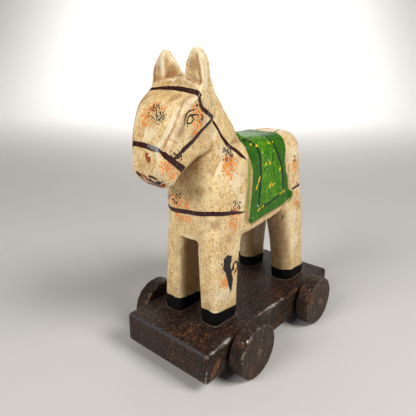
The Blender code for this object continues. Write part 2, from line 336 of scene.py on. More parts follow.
def write_points(mesh, points):
    mesh.vertices.foreach_set("co", (points * MM).astype(np.float32).ravel())
    mesh.update()


def read_normals(mesh):
    return read_rows(mesh.vertex_normals, "vector", np.float32, 3).astype(float)


def read_edges(mesh):
    return read_rows(mesh.edges, "vertices", np.int32, 2)


def write_note(mesh, name, values):
    """Stores one number for each point, for Finish.note to read."""
    store = mesh.attributes.new(name, "FLOAT", "POINT")
    store.data.foreach_set("value", values.astype(np.float32))


def unevenness(points, size, shift=(0, 0, 0)):
    """Smooth noise from -1 to 1 at each point, with bumps of about this size in millimetres."""
    return np.array([noise.noise(Vector(point / size + shift)) for point in points])


def tree_of(places):
    """A search tree that finds the nearest of the places."""
    tree = kdtree.KDTree(len(places))
    for i, place in enumerate(places):
        tree.insert(place, i)
    tree.balance()
    return tree


def settled(points, edges, passes):
    """The points after each has moved to the average of its neighbours this many times."""
    ends = np.concatenate((edges, edges[:, ::-1]))
    count = np.bincount(ends[:, 0], minlength=len(points))[:, None]
    for _ in range(passes):
        sums = [np.bincount(ends[:, 0], points[ends[:, 1], k], len(points)) for k in range(points.shape[1])]
        points = np.stack(sums, 1) / count
    return points


def new_piece(name, mesh, material, body):
    mesh.materials.clear()
    mesh.materials.append(material)
    piece = add_object(name, mesh)
    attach(piece, body)
    return piece


def evaluated(item):
    """The object's mesh with its modifiers applied."""
    bpy.context.view_layer.update()
    graph = bpy.context.evaluated_depsgraph_get()
    return bpy.data.meshes.new_from_object(item.evaluated_get(graph))


def even_grid(mesh, spacing, cutters=()):
    """A copy of a solid, cut by the cutters, with points about this many millimetres apart."""
    joined = bmesh.new()
    joined.from_mesh(mesh)
    bmesh.ops.remove_doubles(joined, verts=joined.verts, dist=1e-6)
    work = add_object("work", as_mesh(joined, "clean"))
    for cutter in cutters:
        cut = work.modifiers.new("cut", "BOOLEAN")
        cut.operation = "DIFFERENCE"
        cut.object = cutter
    remesh = work.modifiers.new("grid", "REMESH")
    remesh.mode = "VOXEL"
    remesh.voxel_size = spacing * MM
    result = evaluated(work)
    bpy.data.objects.remove(work)
    result.shade_smooth()
    return result


# %% [markdown]
# ## Carving the horse
#
# The packed solid has the horse's true outline, but its faces are coarse. The real one shows the knife:
# flat cheeks that meet the flat face in an edge, ears with a hollow in front, a mouth cut in with two
# strokes. It could be sculpted by hand. Here the solid is cut with wedges where the knife took wood away
# and laid on an even grid. Then its edges are sharpened by a trick from photography: the difference between
# the form and a softened copy of it is added once more, which raises ridges and deepens hollows.


# %% Wedges for the ears
def wedge(name, corners, top):
    """A prism over corners (x, y, lowest z) in millimetres, whose underside may slope."""
    form = bmesh.new()
    low = [form.verts.new((x * MM, y * MM, z * MM)) for x, y, z in corners]
    high = [form.verts.new((x * MM, y * MM, top * MM)) for x, y, _ in corners]
    for i in range(len(corners)):
        j = (i + 1) % len(corners)
        form.faces.new((low[i], low[j], high[j], high[i]))
    form.faces.new(low[::-1])
    form.faces.new(high)
    bmesh.ops.triangulate(form, faces=form.faces)
    bmesh.ops.recalc_face_normals(form, faces=form.faces)
    return add_object(name, as_mesh(form, name))


TOP = 150
right_inside = [
    (-9.2, -46, 131), (-9.6, -41.3, 133.6), (-3.4, -34.4, 137.2), (-1.7, -34, 137.4), (-1.7, -46, 132),
]
left_inside = [
    (4.6, -46, 132), (4.4, -41.4, 134.6), (0.4, -34.4, 137.4), (-1.3, -34, 137.4), (-1.3, -46, 132),
]
right_front = [
    (-20, -50, 126), (-20, -40.8, 130.4), (-7, -41.2, 134.3), (-1.5, -41.3, 135.2), (-1.5, -50, 130.5),
    (-7, -50, 129.5),
]
left_front = [
    (-1.5, -50, 130.5), (-1.5, -41.3, 135.2), (3, -41.2, 135.2), (11.5, -40.3, 132.2), (17, -39.4, 129.8),
    (17, -50, 125.5), (3, -50, 130.5),
]
ear_cutters = [
    wedge("right_ear_inside", right_inside, TOP),
    wedge("left_ear_inside", left_inside, TOP),
    wedge("right_ear_front", right_front, TOP),
    wedge("left_ear_front", left_front, TOP),
]
GRID = 0.7
carved = even_grid(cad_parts["horse"].data, GRID, ear_cutters)
for cutter in ear_cutters:
    bpy.data.objects.remove(cutter)
print(f"horse on a {GRID} mm grid: {len(carved.vertices)} points")


# %% Knife edges
def sharpened(points, edges, passes, amount, largest):
    """Adds the difference between the form and a softened copy, up to the largest shift."""
    smooth = settled(points, edges, 1)
    shift = (smooth - settled(points, edges, passes)) * amount
    length = np.linalg.norm(shift, axis=1, keepdims=True)
    return smooth + shift * np.minimum(1, largest / np.maximum(length, 1e-9))


def pushed(points, centre, reach, shift):
    """Moves the points round a centre by a shift in millimetres that fades out at the reach."""
    closeness = np.clip(1 - np.linalg.norm((points - centre) / reach, axis=1), 0, 1)
    return points + np.array(shift) * (closeness**2 * (3 - 2 * closeness))[:, None]


# Each push has a centre, a reach along each axis and a shift.
PUSHES = {
    "left ear": ((12.5, -33, 131), (9, 9, 13), (-1.4, -1.2, 0)),
    "right ear": ((-15.5, -33, 131), (9, 9, 13), (1.4, -1.2, 0)),
    "right ear's outer side": ((-15.5, -39, 137), (6, 9, 11), (-1.1, 0, 0)),
    "right ear's tip": ((-9.5, -40, 145.5), (4, 6, 5), (1, 0, 0)),
    "left ear's foot": ((4.2, -40, 135), (4, 5, 5), (-1.5, 0, 0)),
    "poll": ((-1.5, -31, 137), (9, 4.5, 5), (0, -0.6, -2)),
    "blanket's left corner": ((12, -9, 104.5), (6, 4.5, 4.5), (0, -2.2, 0)),
    "blanket's right corner": ((-15, -9, 104.5), (6, 4.5, 4.5), (0, -2.2, 0)),
    "left jaw": ((8.5, -34, 107), (6, 7, 6), (0.3, 1.6, -1.4)),
    "right jaw": ((-11.5, -34, 107), (6, 7, 6), (-0.3, 1.6, -1.4)),
}
HAND_DEPTH = 0.16
SOLE_FADE = 3.0
points = sharpened(read_points(carved), read_edges(carved), passes=14, amount=1.1, largest=0.45)
for centre, reach, shift in PUSHES.values():
    points = pushed(points, centre, reach, shift)
sole = np.clip((points[:, 2] - HORSE_BOX[0].z) / SOLE_FADE, 0, 1)
hand = unevenness(points, size=7) + 0.4 * unevenness(points, size=2.5)
points += read_normals(carved) * (HAND_DEPTH * hand * sole)[:, None]
write_points(carved, points)
print("lowest point", round(points[:, 2].min(), 2))

# %% [markdown]
# ## Brush strokes
#
# Straps, eyes and border lines are brush strokes on the wood. They have no thickness to speak of, so they
# are colour and not mesh. A picture wrapped round the horse would need an unwrapped surface and would blur
# close up. Here each stroke is a line of notes, x, y, z and half its width, through which a smooth curve
# runs. It is laid on the wood, and each point of the mesh then stores how far outside the nearest stroke it
# is. The material turns that distance into paint, with an edge as sharp or as ragged as the brush left it.


# %% Curves through noted points
def smooth_curve(notes, spacing=0.25):
    """Catmull-Rom through rows of numbers, whose first three are a place."""
    rows = np.array(notes, float)
    if len(rows) == 1:
        return rows
    ends = np.vstack((2 * rows[0] - rows[1], rows, 2 * rows[-1] - rows[-2]))
    found = []
    for before, start, end, after in zip(ends, ends[1:], ends[2:], ends[3:]):
        count = max(1, math.ceil(np.linalg.norm(end[:3] - start[:3]) / spacing))
        for t in np.arange(count) / count:
            turn = 2 * before - 5 * start + 4 * end - after
            swing = 3 * start - before - 3 * end + after
            found.append(start + 0.5 * ((end - before) * t + turn * t**2 + swing * t**3))
    return np.array(found + [rows[-1]])


def turned_over(notes):
    """The same notes on the horse's other side."""
    return [(2 * HORSE_MIDDLE - x, *rest) for x, *rest in notes]


def both_sides(*strokes):
    return [*strokes, *(turned_over(stroke) for stroke in strokes)]


# %% Straps of the bridle
brow_band = [
    (12.8, -43.3, 128.3, 1.25), (9.8, -43.2, 129.1, 1.2), (5.7, -43.2, 129.8, 1.15), (-0.9, -42.9, 130.2, 1),
    (-8, -43, 130, 0.8), (-12.5, -43.2, 129.5, 0.72), (-15.4, -43.2, 128.4, 0.75),
]
cheek_strap = [
    (12.4, -43.7, 128, 0.75), (12.8, -42.7, 124.9, 0.83), (12.6, -39.8, 122.1, 0.9),
    (9.9, -31.6, 118.5, 0.93),
]
lower_cheek_strap = [
    (9.9, -31.6, 118.5, 0.9), (11.4, -39.9, 114.5, 0.96), (10.7, -44.8, 110.5, 1.04), (9.6, -49.8, 107, 1.1),
    (8.9, -52.4, 105, 1.01),
]
rein = [
    (9.9, -31.6, 118.5, 0.75), (8.7, -27, 113.5, 0.68), (8.9, -24.5, 110, 0.75), (9.4, -21, 106.3, 1.08),
    (11.7, -18.9, 103.8, 1.2), (13.4, -15.7, 100.9, 0.83), (14, -12.2, 98.6, 0.18),
]
nose_band = [
    (-9.6, -47.5, 99, 1.3), (-11.5, -50.4, 101.3, 1.4), (-11.6, -54.6, 105, 1.3), (-10.6, -57.3, 108, 1.1),
    (-9, -57.6, 108.8, 1.1), (-3.3, -57.8, 108.8, 1.1), (2.4, -58, 108.2, 1.05), (4.8, -57.9, 108, 0.9),
    (6.4, -57.7, 107.5, 0.6), (7.6, -57.2, 106.6, 1.1), (8.3, -56.2, 105.5, 1.3), (8.5, -53.9, 103.9, 1.45),
    (8.4, -50.6, 101.3, 1.5), (8.2, -48.2, 99.4, 1.5),
]
breast_band = [
    (-17.6, -11, 73.4, 0.24), (-18.2, -23.8, 76, 1.01), (-16.5, -31.9, 77, 1.12), (-12.3, -36, 76.3, 1.12),
    (-8.6, -37.1, 75.8, 1.17), (-3.1, -37.4, 76.3, 1.17), (3.1, -37.5, 77, 1.17), (10.9, -35.1, 77.6, 1.12),
    (13.7, -31.9, 77.4, 1.06), (15.2, -23.8, 76.1, 0.94), (14.1, -11, 73.2, 0.19),
]
breeching = [
    (15, 30.4, 75.9, 0.63), (15.2, 33.2, 76.6, 0.72), (14.7, 37.5, 76.9, 0.90), (10, 43.5, 77.2, 0.90),
    (-1.5, 45.5, 77, 0.81), (-13, 43.5, 77.2, 0.90), (-17.7, 37.5, 76.9, 0.90), (-18.2, 33.2, 76.6, 0.63),
    (-18, 30.4, 75.9, 0.45),
]
crupper = [(5.7, 18, 106.3, 0.42), (3.9, 28, 106.2, 0.49), (0.5, 38, 105, 0.42)]
cheek_dabs = [
    [(8.4, -53.6, 107, 0.39), (8.6, -53, 106.2, 0.33)],
    [(9.1, -55.3, 107.8, 0.3)],
    [(9.4, -52.4, 107.8, 0.2), (9.4, -51.6, 107.6, 0.2), (9.3, -51.2, 106.8, 0.2)],
    [(8.9, -49.5, 103.6, 0.4)],
    [(9.2, -50.1, 105.6, 0.5), (9, -49.7, 104.8, 0.4)],
    [(8.8, -51.4, 104.4, 0.52), (8.8, -50.8, 104.9, 0.39)],
]
straps = [brow_band, nose_band, breast_band, breeching]
straps += both_sides(cheek_strap, lower_cheek_strap, rein, crupper, *cheek_dabs)

# %% Eyes, mouth and the other black strokes
eye_strokes = [
    [
        (11.5, -50.2, 117.5, 0.18), (11.8, -50.2, 119.9, 0.3), (12, -49.4, 121.7, 0.33),
        (12.3, -47.9, 122.6, 0.36), (12.5, -45.2, 122.9, 0.21),
    ],
    [
        (11.4, -48.6, 116.4, 0.18), (11.8, -48.8, 119.3, 0.3), (12.1, -48, 120.7, 0.39),
        (12.2, -46, 120.9, 0.39), (12.3, -43.2, 120.8, 0.18),
    ],
    [
        (11.6, -48.6, 117.8, 0.33), (11.7, -47, 117.8, 0.36), (11.9, -45.7, 118.8, 0.36),
        (12, -46, 119.8, 0.33), (12, -46.8, 120.3, 0.3),
    ],
]
leg_patch = [
    [(14.7, -25.4, 54.6, 1.3), (14.6, -27, 52.8, 2.3), (14.6, -26, 50.6, 2.6), (14.5, -25, 48.4, 2.2)],
    [(14.7, -23.6, 53.4, 1.6), (14.6, -24.2, 51.4, 2)],
    [
        (14.5, -24.6, 48.4, 2.4), (14.6, -23.3, 45.8, 2.8), (14.6, -22.8, 42.6, 2.2),
        (14.7, -22.6, 39.4, 1.6), (14.8, -22.3, 35.2, 0.2),
    ],
    [(14.6, -29.6, 52.6, 0.7)],
    [(14.6, -21, 47, 1.1), (14.5, -20.4, 49.4, 0.6), (14.4, -18.6, 50, 0.5), (14.3, -17.2, 48.6, 0.6)],
    [(14.3, -17.2, 48.6, 0.6), (14.4, -17.6, 46.2, 0.6), (14.6, -19.8, 44.6, 0.4)],
]
leg_specks = [
    [(16.3, 32.8, 29.9, 0.25)],
    [(16.1, 44.2, 34.2, 0.2)],
    [(13.8, 24, 61.1, 0.4), (13.8, 24.6, 62, 0.3)],
    [(14.8, -19.2, 61.1, 0.35)],
]
mouth_strokes = [
    [(-6.2, -59.1, 97.6, 0.9), (-5.4, -58.9, 96.9, 1)],
    [(-4.8, -58.8, 96.4, 0.5), (-3.6, -58.2, 95.2, 0.5), (-2.4, -57.4, 94.2, 0.6), (-1.2, -56.6, 93.4, 0.5)],
    [(-2, -58.9, 97.2, 0.2), (-1, -58.6, 96.2, 0.3), (0, -58.2, 95.2, 0.4)],
    [(0.2, -59.1, 97.2, 0.4), (1.6, -59.1, 97.4, 0.55), (3.2, -59, 97.1, 0.6), (4.4, -58.6, 96.4, 0.4)],
    [(-0.2, -58.2, 95.4, 0.6), (0.8, -58.2, 95.2, 1.1), (2, -58.1, 95.2, 0.7)],
    [(0.2, -57, 94, 0.6), (1.7, -57, 94.1, 1), (3.4, -57.4, 94.6, 1.1), (5, -57.6, 95.3, 0.7)],
    [(6, -57.4, 95.6, 0.3), (6.8, -57.2, 96, 0.15)],
    [(-1.6, -55.8, 92.9, 0.5), (0.4, -55.8, 93, 0.6), (2, -56.2, 93.4, 0.5)],
]
black_strokes = [*both_sides(*eye_strokes), *leg_patch, *leg_specks, *mouth_strokes]
red_strokes = [
    [(-0.9, -58.7, 105.3, 0.85)],
    [(-0.1, -58.8, 104.4, 0.9), (0.5, -59, 103.7, 0.9)],
    [(-3.8, -59.1, 97.1, 0.6)],
    [(-2.7, -58.8, 96.9, 0.5), (-1.6, -58.4, 95.8, 0.6), (-0.4, -57.4, 94.5, 0.6)],
    [(0.6, -58.7, 96.4, 0.4), (1.2, -58.3, 95.4, 0.5), (2.4, -57.6, 94.8, 0.7), (3.6, -57.6, 95, 0.4)],
    [(-4.5, -54.6, 92.6, 0.8), (-2, -54, 92, 1.2), (0.5, -54.5, 92.3, 1.4), (3.1, -55.4, 93.1, 1.3)],
    [(3.1, -55.4, 93.1, 1.3), (5.4, -56, 94, 0.7)],
]
ridge_line = [
    (9.6, -48.1, 126, 0.2), (9.9, -49.3, 124.9, 0.3), (10.2, -51.6, 121.7, 0.35), (10, -53.3, 118.6, 0.4),
    (9.1, -55.2, 114.5, 0.42), (7.9, -56.7, 110.8, 0.42), (7.3, -57.4, 108.9, 0.4),
]
ear_crease = [
    (8.8, -40.4, 144.2, 0.2), (10.1, -40.6, 139.4, 0.45), (10.9, -40.7, 135.4, 0.5),
    (11.3, -41.2, 132.5, 0.5),
]
ear_foot = [
    (11.5, -41.4, 132.1, 0.3), (9.4, -42, 133, 0.25), (6.7, -41.9, 133.8, 0.25), (4.5, -41.9, 134.5, 0.2),
]
far_ear_foot = [
    (-14.5, -42, 132, 0.15), (-11.2, -42.1, 133.2, 0.2), (-7.1, -42, 134.1, 0.3), (-3.1, -40.9, 134.8, 0.4),
    (-2, -38, 136, 0.3),
]
crease_lines = both_sides(ridge_line, ear_crease)
crease_lines += [ear_foot, far_ear_foot]
# Painted highlights: pale strokes where the varnish shines, on the ridge of the face, the noseband, the ears
# and the mouth.
highlight_strokes = [
    [(8.9, -50.3, 124, 0.2), (8.4, -52.1, 121.4, 0.5), (8, -53.8, 118.5, 0.6), (7.3, -55.4, 115.2, 0.5)],
    [
        (7.3, -55.4, 115.2, 0.5), (6.1, -56.7, 111.8, 0.5), (4.6, -57.9, 108.4, 0.9), (5, -58.6, 105.4, 0.5),
        (5.6, -58.7, 103.4, 0.2),
    ],
    [(-1, -57.9, 108.9, 0.3), (1.5, -57.9, 108.6, 0.5), (3.6, -58, 108.1, 0.8), (4.8, -57.9, 107.6, 0.6)],
    [(-9.3, -41.1, 142, 0.3), (-9.2, -41.4, 138.5, 0.7), (-9.2, -41.7, 135.4, 0.6)],
    [
        (10.9, -38, 140.8, 0.2), (11.6, -37.7, 137.2, 0.6), (12.3, -38, 132.8, 0.7),
        (12.6, -38.8, 129.1, 0.5),
    ],
    [(9.4, -41.8, 134.8, 0.5)],
    [(-4.2, -58.2, 95.2, 0.3), (-3, -57.2, 94, 0.5), (-2.4, -56.2, 93, 0.3)],
    [(2.9, -55.9, 93.5, 0.2), (4.6, -56.2, 94.1, 0.4)],
]

# %% Border lines of the blanket
border_front = [
    (-1.5, -11.4, 107.8, 0.68), (6.5, -9.8, 107.5, 0.68), (9.9, -6.8, 106.3, 0.72),
    (12.4, -5.1, 104.4, 0.76), (14.8, -2.7, 99.2, 0.78), (14.9, -1, 88.9, 0.78), (14.9, -1.4, 82.3, 0.78),
    (14.9, -1.6, 75.6, 0.72), (14.9, -2.8, 73.6, 0.68),
]
border_foot = [
    (14.8, 0.5, 73, 0.61), (14.8, 3.8, 73.1, 0.61), (14.7, 10.1, 73.7, 0.57), (14.8, 17.3, 75.7, 0.54),
]
border_rear = [
    (-1.5, 13.4, 106.6, 0.59), (4, 12.2, 106.4, 0.63), (9.2, 10.9, 105.6, 0.68), (14, 12, 100.3, 0.68),
    (14.8, 17.3, 91.3, 0.68), (14.8, 19.3, 85.1, 0.72), (14.8, 20.1, 81.4, 0.72), (14.8, 20.3, 78.2, 0.68),
]
border_lines = both_sides(border_front, border_foot, border_rear)
stray_green = both_sides(
    [(14, -10.9, 97.5, 0.1), (14.2, -9.9, 92.3, 0.5), (14.2, -9.7, 83.7, 0.45), (14.2, -9.9, 74.8, 0.5)],
    [(14.2, -9.9, 74.8, 0.5), (15, -8.8, 69.6, 0.2)],
    [(15.4, 27.2, 75.4, 0.3), (15.2, 28.4, 73, 0.8), (14.8, 28.4, 70.4, 0.9), (14.7, 26.4, 68.8, 0.3)],
    [(15.4, 30.4, 74.6, 0.3), (15.4, 29.4, 72.6, 0.2)],
)


# %% Dabs on the blanket
def dab(x, y, z, length, half_width, lean):
    """A short stroke centred there, leaning from the vertical towards the rear by this many degrees."""
    dy = math.sin(math.radians(lean)) * length / 2
    dz = math.cos(math.radians(lean)) * length / 2
    tip = half_width * 0.8
    return [(x, y - dy, z - dz, tip), (x, y, z, half_width), (x, y + dy, z + dz, tip)]


yellow_dabs = both_sides(
    dab(12.3, -7, 104.6, 1.6, 0.45, 60),
    dab(13, -3.3, 103.6, 1.8, 0.55, 70),
    dab(12.4, 7.9, 103.4, 1.6, 0.5, -40),
    dab(12.2, 11.6, 103.4, 1, 0.4, 20),
    dab(14.8, 2.9, 94.1, 1.6, 0.5, 30),
    dab(14.7, 6.5, 94.2, 1.4, 0.5, -30),
    dab(14.8, 16.2, 89.4, 1.5, 0.5, 10),
    dab(14.9, -2.4, 87.4, 2.6, 0.6, 25),
    dab(15, -4.3, 84.2, 2.4, 0.5, 30),
    dab(14.7, 8.1, 82.3, 2.2, 0.6, 40),
    dab(14.6, 11, 82.3, 1.8, 0.5, 50),
    dab(14.8, 21.2, 76.5, 1.6, 0.5, 70),
    dab(14.8, 18.1, 76, 1.2, 0.4, 80),
    dab(14.8, 2, 72.8, 1.6, 0.45, 60),
    dab(14.9, -1.3, 72, 2, 0.5, 60),
    dab(3.3, 4.9, 106.9, 1.4, 0.4, 90),
    dab(0.4, 12.6, 106.5, 1.2, 0.4, 90),
)
glint_dabs = [[(0.1, -58.8, 105.3, 0.4)], [(0.4, -59, 103.9, 0.2)]]
white_dabs = glint_dabs + both_sides(
    dab(14.5, -0.2, 100, 0.4, 0.3, 0),
    dab(14.3, 9.7, 99.7, 0.4, 0.3, 0),
    dab(14.7, 5.1, 95.7, 0.4, 0.28, 0),
    dab(14.9, -2.5, 74.2, 0.6, 0.4, 30),
    dab(15, -6.8, 69.1, 0.3, 0.3, 0),
)
print(len(straps), "straps,", len(black_strokes), "black strokes,", len(yellow_dabs), "yellow dabs")


# %% Laying strokes on the wood
class Strokes:
    """Strokes of one colour, laid on a surface, which can say how far any place is from their edge."""

    def __init__(self, strokes, surface):
        rows = np.vstack([smooth_curve(stroke) for stroke in strokes])
        self.widths = rows[:, 3]
        self.tree = tree_of([surface.find_nearest(Vector(row[:3]))[0] for row in rows])

    def outside(self, points, far=8.0):
        """Millimetres from each point to the paint's edge, negative under the paint."""
        found = np.full(len(points), far)
        for i, point in enumerate(points):
            _, nearest, distance = self.tree.find(point)
            found[i] = min(far, distance - self.widths[nearest])
        return found


def surface_of(points, mesh):
    """The mesh as a surface, in millimetres, that can be asked for its nearest place."""
    faces = [tuple(face.vertices) for face in mesh.polygons]
    return BVHTree.FromPolygons([Vector(point) for point in points], faces)


# %% [markdown]
# ## A finer mesh under the strokes
#
# A distance stored at points 0.7 mm apart can't draw a line half a millimetre wide. The whole horse on a
# finer grid would be a million faces, so only the faces under or beside a stroke are divided, twice where
# the eyes are. The numbers are then stored for the new points.


# %% Divide under the strokes
def divided_near(mesh, near):
    """The mesh with the edges divided whose two ends are both marked as near."""
    form = bmesh.new()
    form.from_mesh(mesh)
    form.verts.ensure_lookup_table()
    edges = [edge for edge in form.edges if near[edge.verts[0].index] and near[edge.verts[1].index]]
    bmesh.ops.subdivide_edges(form, edges=edges, cuts=1, use_grid_fill=True)
    form.to_mesh(mesh)
    form.free()
    mesh.shade_smooth()
    return read_points(mesh)


surface = surface_of(points, carved)
sharp_strokes = {
    "strap": straps,
    "red": red_strokes,
    "black": black_strokes,
    "border": border_lines,
    "yellow": yellow_dabs,
    "white": white_dabs,
}
soft_strokes = {"crease_line": crease_lines, "highlight_strokes": highlight_strokes, "stray_green": stray_green}
laid = {name: Strokes(found, surface) for name, found in {**sharp_strokes, **soft_strokes}.items()}
eyes = Strokes(both_sides(*eye_strokes), surface)
nearest_paint = np.min([laid[name].outside(points) for name in sharp_strokes], axis=0)
BESIDE_PAINT = 0.9
BESIDE_EYES = 0.5
points = divided_near(carved, nearest_paint < BESIDE_PAINT)
points = divided_near(carved, eyes.outside(points) < BESIDE_EYES)
print(f"{len(points)} points, {len(carved.polygons)} faces after dividing")

# %% [markdown]
# ## Areas of paint
#
# The green of the blanket and the black of the hooves are areas. Each has an outline that is easy to write
# down from the side: a polygon in y and z for the blanket and a height for the hooves. The sign of an
# area is worked out with that outline, and its distance is measured on the wood from the places where the
# sign changes.


# %% Outlines of the blanket and the hooves
BLANKET_EDGE = (
    (-2.8, 118), (-6.4, 109.1), (-10.6, 105.8), (-11.4, 103.4), (-10.9, 100.4), (-9.6, 96.5), (-8.8, 92),
    (-8.6, 85.2), (-9.2, 77.3), (-9.8, 70.3), (-8, 66.5), (3.2, 67.4), (15.1, 68.3), (24.1, 69.9),
    (29.1, 71.9), (29.7, 74.5), (26.7, 77.3), (24.1, 83.9), (21.9, 89.2), (20.7, 95.2), (21.3, 101.2),
    (22.9, 106.2), (24.6, 118),
)


def beyond_outline(y, z, outline):
    """Distance in the side view to a closed outline, negative inside it."""
    corners = smooth_curve([(a, b, 0.0) for a, b in outline], spacing=1.0)[:, :2]
    inside = np.zeros(len(y), bool)
    least = np.full(len(y), 1e9)
    for (ay, az), (by, bz) in zip(corners, np.roll(corners, -1, axis=0)):
        dy, dz = by - ay, bz - az
        inside ^= ((az > z) != (bz > z)) & (y < dy * (z - az) / (dz + 1e-12) + ay)
        along = np.clip(((y - ay) * dy + (z - az) * dz) / (dy**2 + dz**2), 0, 1)
        least = np.minimum(least, np.hypot(y - ay - along * dy, z - az - along * dz))
    return np.where(inside, -least, least)


def on_the_wood(values, points, edges, far=12.0):
    """The same sign as values, with the distance measured to where the sign changes on the mesh."""
    a, b = edges[:, 0], edges[:, 1]
    split = values[a] * values[b] < 0
    a, b = a[split], b[split]
    share = (values[a] / (values[a] - values[b]))[:, None]
    crossing = points[a] + (points[b] - points[a]) * share
    tree = tree_of(crossing)
    distance = np.array([min(far, tree.find(point)[2]) for point in points])
    return np.sign(values) * distance


# The hooves' upper edges slope a little and waver.
edges = read_edges(carved)
_, y, z = points.T
blanket = on_the_wood(beyond_outline(y, z, BLANKET_EDGE), points, edges)
front_hoof_top = 28.4 - 0.12 * (y + 33)
rear_hoof_top = 27.6 - 0.08 * (y - 28)
hoof = z - np.where(y < 0, front_hoof_top, rear_hoof_top) - 0.5 * unevenness(points, size=4)
inner_outline = [row[1:3] for row in border_front + border_foot + border_rear[::-1]]
inner_cloth = beyond_outline(y, z, inner_outline)
print(f"blanket covers {np.mean(blanket < 0):.0%} of the points, hooves {np.mean(hoof < 0):.0%}")

# %% [markdown]
# ## Dapples, grime, wear and painted shade
#
# The dapples were dabbed with a nearly dry sponge: black specks, and orange ones beside them. Each is a soft
# ball in which specks get dense towards the middle. Old varnish has gathered in the hollows and worn off the
# ridges, and the mesh can say where those are: a point in a hollow lies below the average of its
# surroundings, and a point on a ridge above it. Shade is painted in too. The mesh also says how much of the
# sky the horse hides from each point, and which faces of the rear legs look forward into the shade of the
# body.

# %% Dapples
# Dapples further out than this are on the horse's sides, and are repeated on its right side.
MIDDLE_ENDS = 5.0
BLACK_DAPPLES = (
    (-2.8, -52.5, 121.8, 5.5), (1.6, -53.5, 119.8, 4.6), (12.6, -45.2, 124.2, 2.2), (12.2, -42, 119.4, 2.8),
    (10.2, -21.3, 103.6, 4.6), (10.9, -23.6, 100.6, 3.2), (-8.6, -37.8, 84.8, 3.4), (-4.8, -37.8, 84, 3.2),
    (-6.8, -37.8, 80.6, 3), (-12, -37, 82, 3.4), (15.1, -22.3, 78.8, 4.8), (15.1, -18.6, 78.4, 3.8),
    (14.6, 31.2, 92.6, 3), (15.2, 34.4, 77.6, 2.6),
)
ORANGE_DAPPLES = (
    (-6.8, -53, 120.2, 4.8), (-5.6, -54.5, 117.4, 3.6), (-4, -51.5, 123.6, 4.4), (1.4, -52, 123, 3),
    (12.5, -44.5, 122.6, 4.4), (12.2, -42, 119.2, 4.6), (11.6, -43.8, 115.6, 4.2), (7.6, -55.6, 101.2, 5.4),
    (7.3, -53, 98.6, 5), (12, -22.5, 97.2, 6.5), (13, -23.2, 94, 4.6), (-1, -37.8, 80.6, 5.4),
    (-6.5, -37.8, 80.4, 5.6), (-4.7, -37, 73.6, 4.4), (0.4, -37, 72.8, 3.8), (15.1, -21.6, 75.4, 5),
    (15.1, -22.2, 71.2, 5), (14.9, -21.5, 68.2, 3.4), (14.9, 31.6, 89, 5), (12.9, 40, 83.3, 5.5),
    (15.2, 34.6, 73, 3), (15.3, 34.9, 67, 3.2), (14.6, -19.2, 44.7, 3.8), (14.6, -26.6, 42, 4.6),
)
STAINS = (
    (4, -47, 126.9, 5), (-6, -37.6, 137, 6), (-4, -35, 134, 4.5), (7, -41, 139, 5), (11.2, -48, 125.4, 6),
    (12, -50.5, 119.5, 5), (11, -52.4, 115, 4), (12, -44, 113, 5), (12.4, -40, 118, 5),
    (7.4, -36.7, 88.1, 4), (13.1, -32.4, 71.8, 4), (14.8, -25, 64.4, 4), (15.4, 37.5, 65, 5),
    (12.9, 41, 80, 6),
)
PALE_PATCHES = (
    (12.1, -38, 119, 6), (8.6, -30.5, 111, 6), (10.5, -24.5, 103.5, 7), (14, -19.6, 90.6, 9),
    (15.1, -16.9, 80.8, 7), (14.5, 30, 95, 9), (15.4, 31, 60, 9), (15.8, 35, 44, 8), (14.7, -28.2, 37.2, 8),
    (-2, -57, 113, 6),
)


def dapple_strength(points, dapples):
    """1 in the middle of a dapple and 0 at its rim, for the strongest dapple at each point."""
    found = np.zeros(len(points))
    on_left_side = [dapple for dapple in dapples if dapple[0] > MIDDLE_ENDS]
    for *centre, reach in (*dapples, *turned_over(on_left_side)):
        found = np.maximum(found, 1 - np.linalg.norm(points - np.array(centre), axis=1) / reach)
    return found


# %% Hollows and ridges
def hollow_depth(points, edges, normals, passes):
    """Millimetres by which each point lies below its surroundings, negative on a ridge."""
    return ((settled(points, edges, passes) - points) * normals).sum(1)


def sheltered(points, normals, surface, stride=9, reach=34.0, rays=32, clearance=0.4):
    """How much of the sky over each point the horse itself hides, from 0 to 1."""
    steps = np.arange(rays) + 0.5
    height = np.sqrt(1 - steps / rays)
    flat = np.sqrt(1 - height**2)
    spin = steps * math.pi * (3 - math.sqrt(5))
    fan = [Vector(ray) for ray in np.stack((flat * np.cos(spin), flat * np.sin(spin), height), 1)]
    tree = tree_of(points[::stride])
    hidden = []
    for point, normal in zip(points[::stride], normals[::stride]):
        turn = Vector((0, 0, 1)).rotation_difference(Vector(normal))
        start = Vector(point + normal * clearance)
        hits = sum(surface.ray_cast(start, turn @ ray, reach)[0] is not None for ray in fan)
        hidden.append(hits / rays)
    return np.array([np.mean([hidden[i] for _, i, _ in tree.find_n(point, 3)]) for point in points])


normals = read_normals(carved)
shelter = sheltered(points, normals, surface_of(points, carved))
print(f"shelter from {shelter.min():.2f} to {shelter.max():.2f}")
# Painted shade: the front faces of the rear legs are painted browner, most of all just under the belly,
# where the body and the front legs shade them.
front_facing = np.clip(-normals[:, 1] * 1.4, 0, 1)
on_rear_legs = np.clip((points[:, 1] - 14) / 4, 0, 1) * np.clip((68 - points[:, 2]) / 6, 0, 1)
darker_higher = 0.3 + 0.7 * np.clip((points[:, 2] - 10) / 45, 0, 1)
notes = {name: strokes.outside(points) for name, strokes in laid.items()}
notes.update(
    shelter=settled(shelter[:, None], edges, passes=12)[:, 0],
    hidden_face=front_facing * on_rear_legs * darker_higher,
    blanket=blanket,
    inner_cloth=inner_cloth,
    hoof=hoof,
    stain=dapple_strength(points, STAINS),
    pale=dapple_strength(points, PALE_PATCHES),
    black_dapples=dapple_strength(points, BLACK_DAPPLES),
    orange_dapples=dapple_strength(points, ORANGE_DAPPLES),
    fine_hollow=hollow_depth(points, edges, normals, passes=4),
    broad_hollow=hollow_depth(points, edges, normals, passes=40),
)
for name, values in notes.items():
    write_note(carved, name, values)
print("notes on the horse:", [item.name for item in carved.attributes if item.data_type == "FLOAT"])
